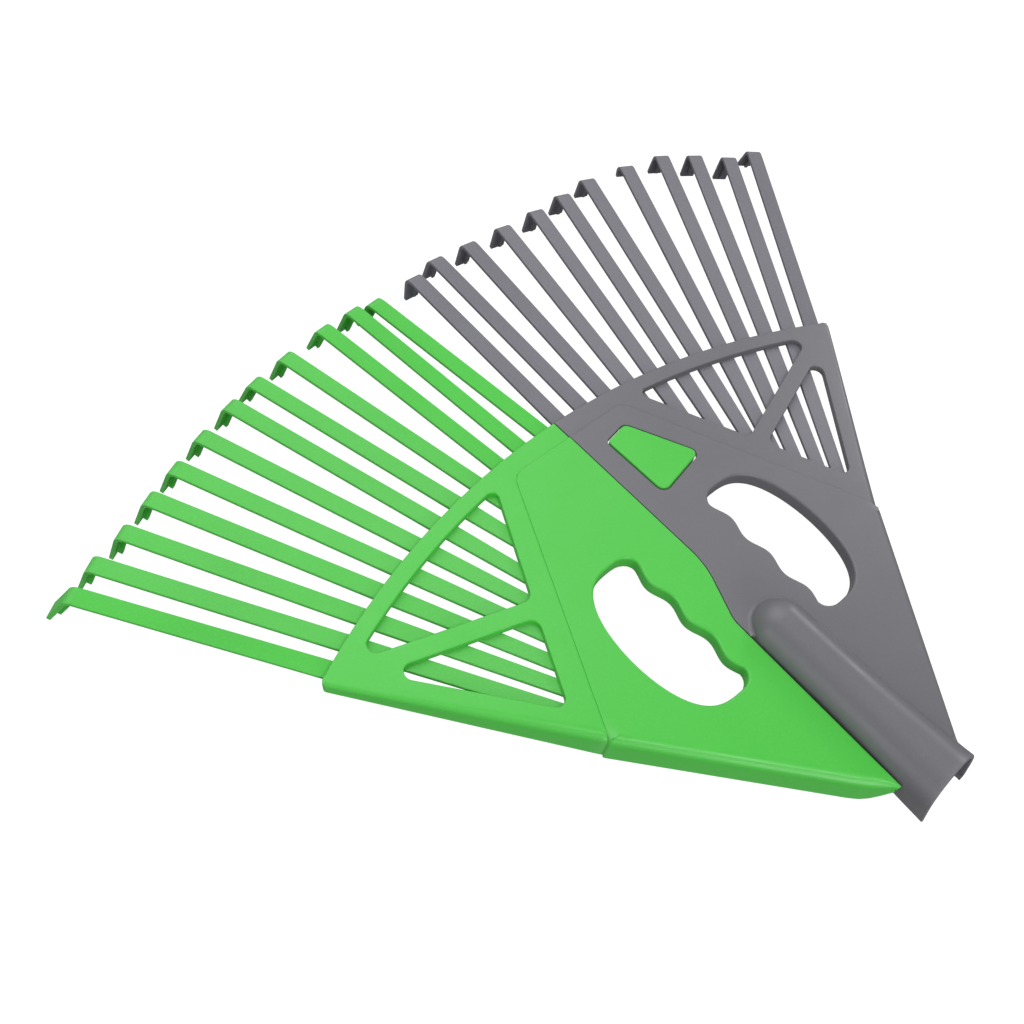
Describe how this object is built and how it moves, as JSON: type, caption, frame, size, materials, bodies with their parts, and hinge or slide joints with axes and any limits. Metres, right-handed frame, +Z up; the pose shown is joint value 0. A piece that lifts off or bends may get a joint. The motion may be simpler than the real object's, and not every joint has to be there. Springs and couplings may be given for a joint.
{
  "type": "leaf rake",
  "caption": "Fan rake head made of two hand scoops, one green and one grey, that latch side by side over a pole socket, each with a grip hole and long hooked tines.",
  "frame": {"origin": "centre of the bounding box on the floor plane", "axes": "+Y along the pole towards the tine tips, +Z up, away from the hooked side, +X towards the grey half"},
  "size_m": [0.4796, 0.358, 0.0398],
  "materials": {
    "green_body_plastic": "satin, moulded through",
    "grey_body_plastic": "satin, moulded through",
    "green_tine_plastic": "matte, moulded through",
    "grey_tine_plastic": "matte, fine grain, moulded through"
  },
  "bodies": {
    "green_scoop": {"green_fan_frame": "green_body_plastic", "green_handle_body": "green_body_plastic", "green_socket_lower_trough": "green_body_plastic", "green_tine_01": "green_tine_plastic", "green_tine_02": "green_tine_plastic", "green_tine_03": "green_tine_plastic", "green_tine_04": "green_tine_plastic", "green_tine_05": "green_tine_plastic", "green_tine_06": "green_tine_plastic", "green_tine_07": "green_tine_plastic", "green_tine_08": "green_tine_plastic", "green_tine_09": "green_tine_plastic", "green_tine_10": "green_tine_plastic", "green_tine_11": "green_tine_plastic", "green_tine_12": "green_tine_plastic"},
    "grey_scoop": {"grey_fan_frame": "grey_body_plastic", "grey_handle_body": "grey_body_plastic", "grey_socket_upper_shell": "grey_body_plastic", "grey_tine_01": "grey_tine_plastic", "grey_tine_02": "grey_tine_plastic", "grey_tine_03": "grey_tine_plastic", "grey_tine_04": "grey_tine_plastic", "grey_tine_05": "grey_tine_plastic", "grey_tine_06": "grey_tine_plastic", "grey_tine_07": "grey_tine_plastic", "grey_tine_08": "grey_tine_plastic", "grey_tine_09": "grey_tine_plastic", "grey_tine_10": "grey_tine_plastic", "grey_tine_11": "grey_tine_plastic", "grey_tine_12": "grey_tine_plastic"},
    "latch": {"latch_button": "green_body_plastic"}
  },
  "joints": [
    {"name": "grey_lift", "type": "slide", "parent": "green_scoop", "child": "grey_scoop", "axis": [0, 0, 1], "range_m": [0, 0.06]},
    {"name": "latch_press", "type": "hinge", "parent": "green_scoop", "child": "latch", "pos_m": [-0.01906, 0.01595, 0.0204], "axis": [0, 1, 0], "range_deg": [0, 6], "stiffness_Nm_per_rad": 0.6}
  ]
}
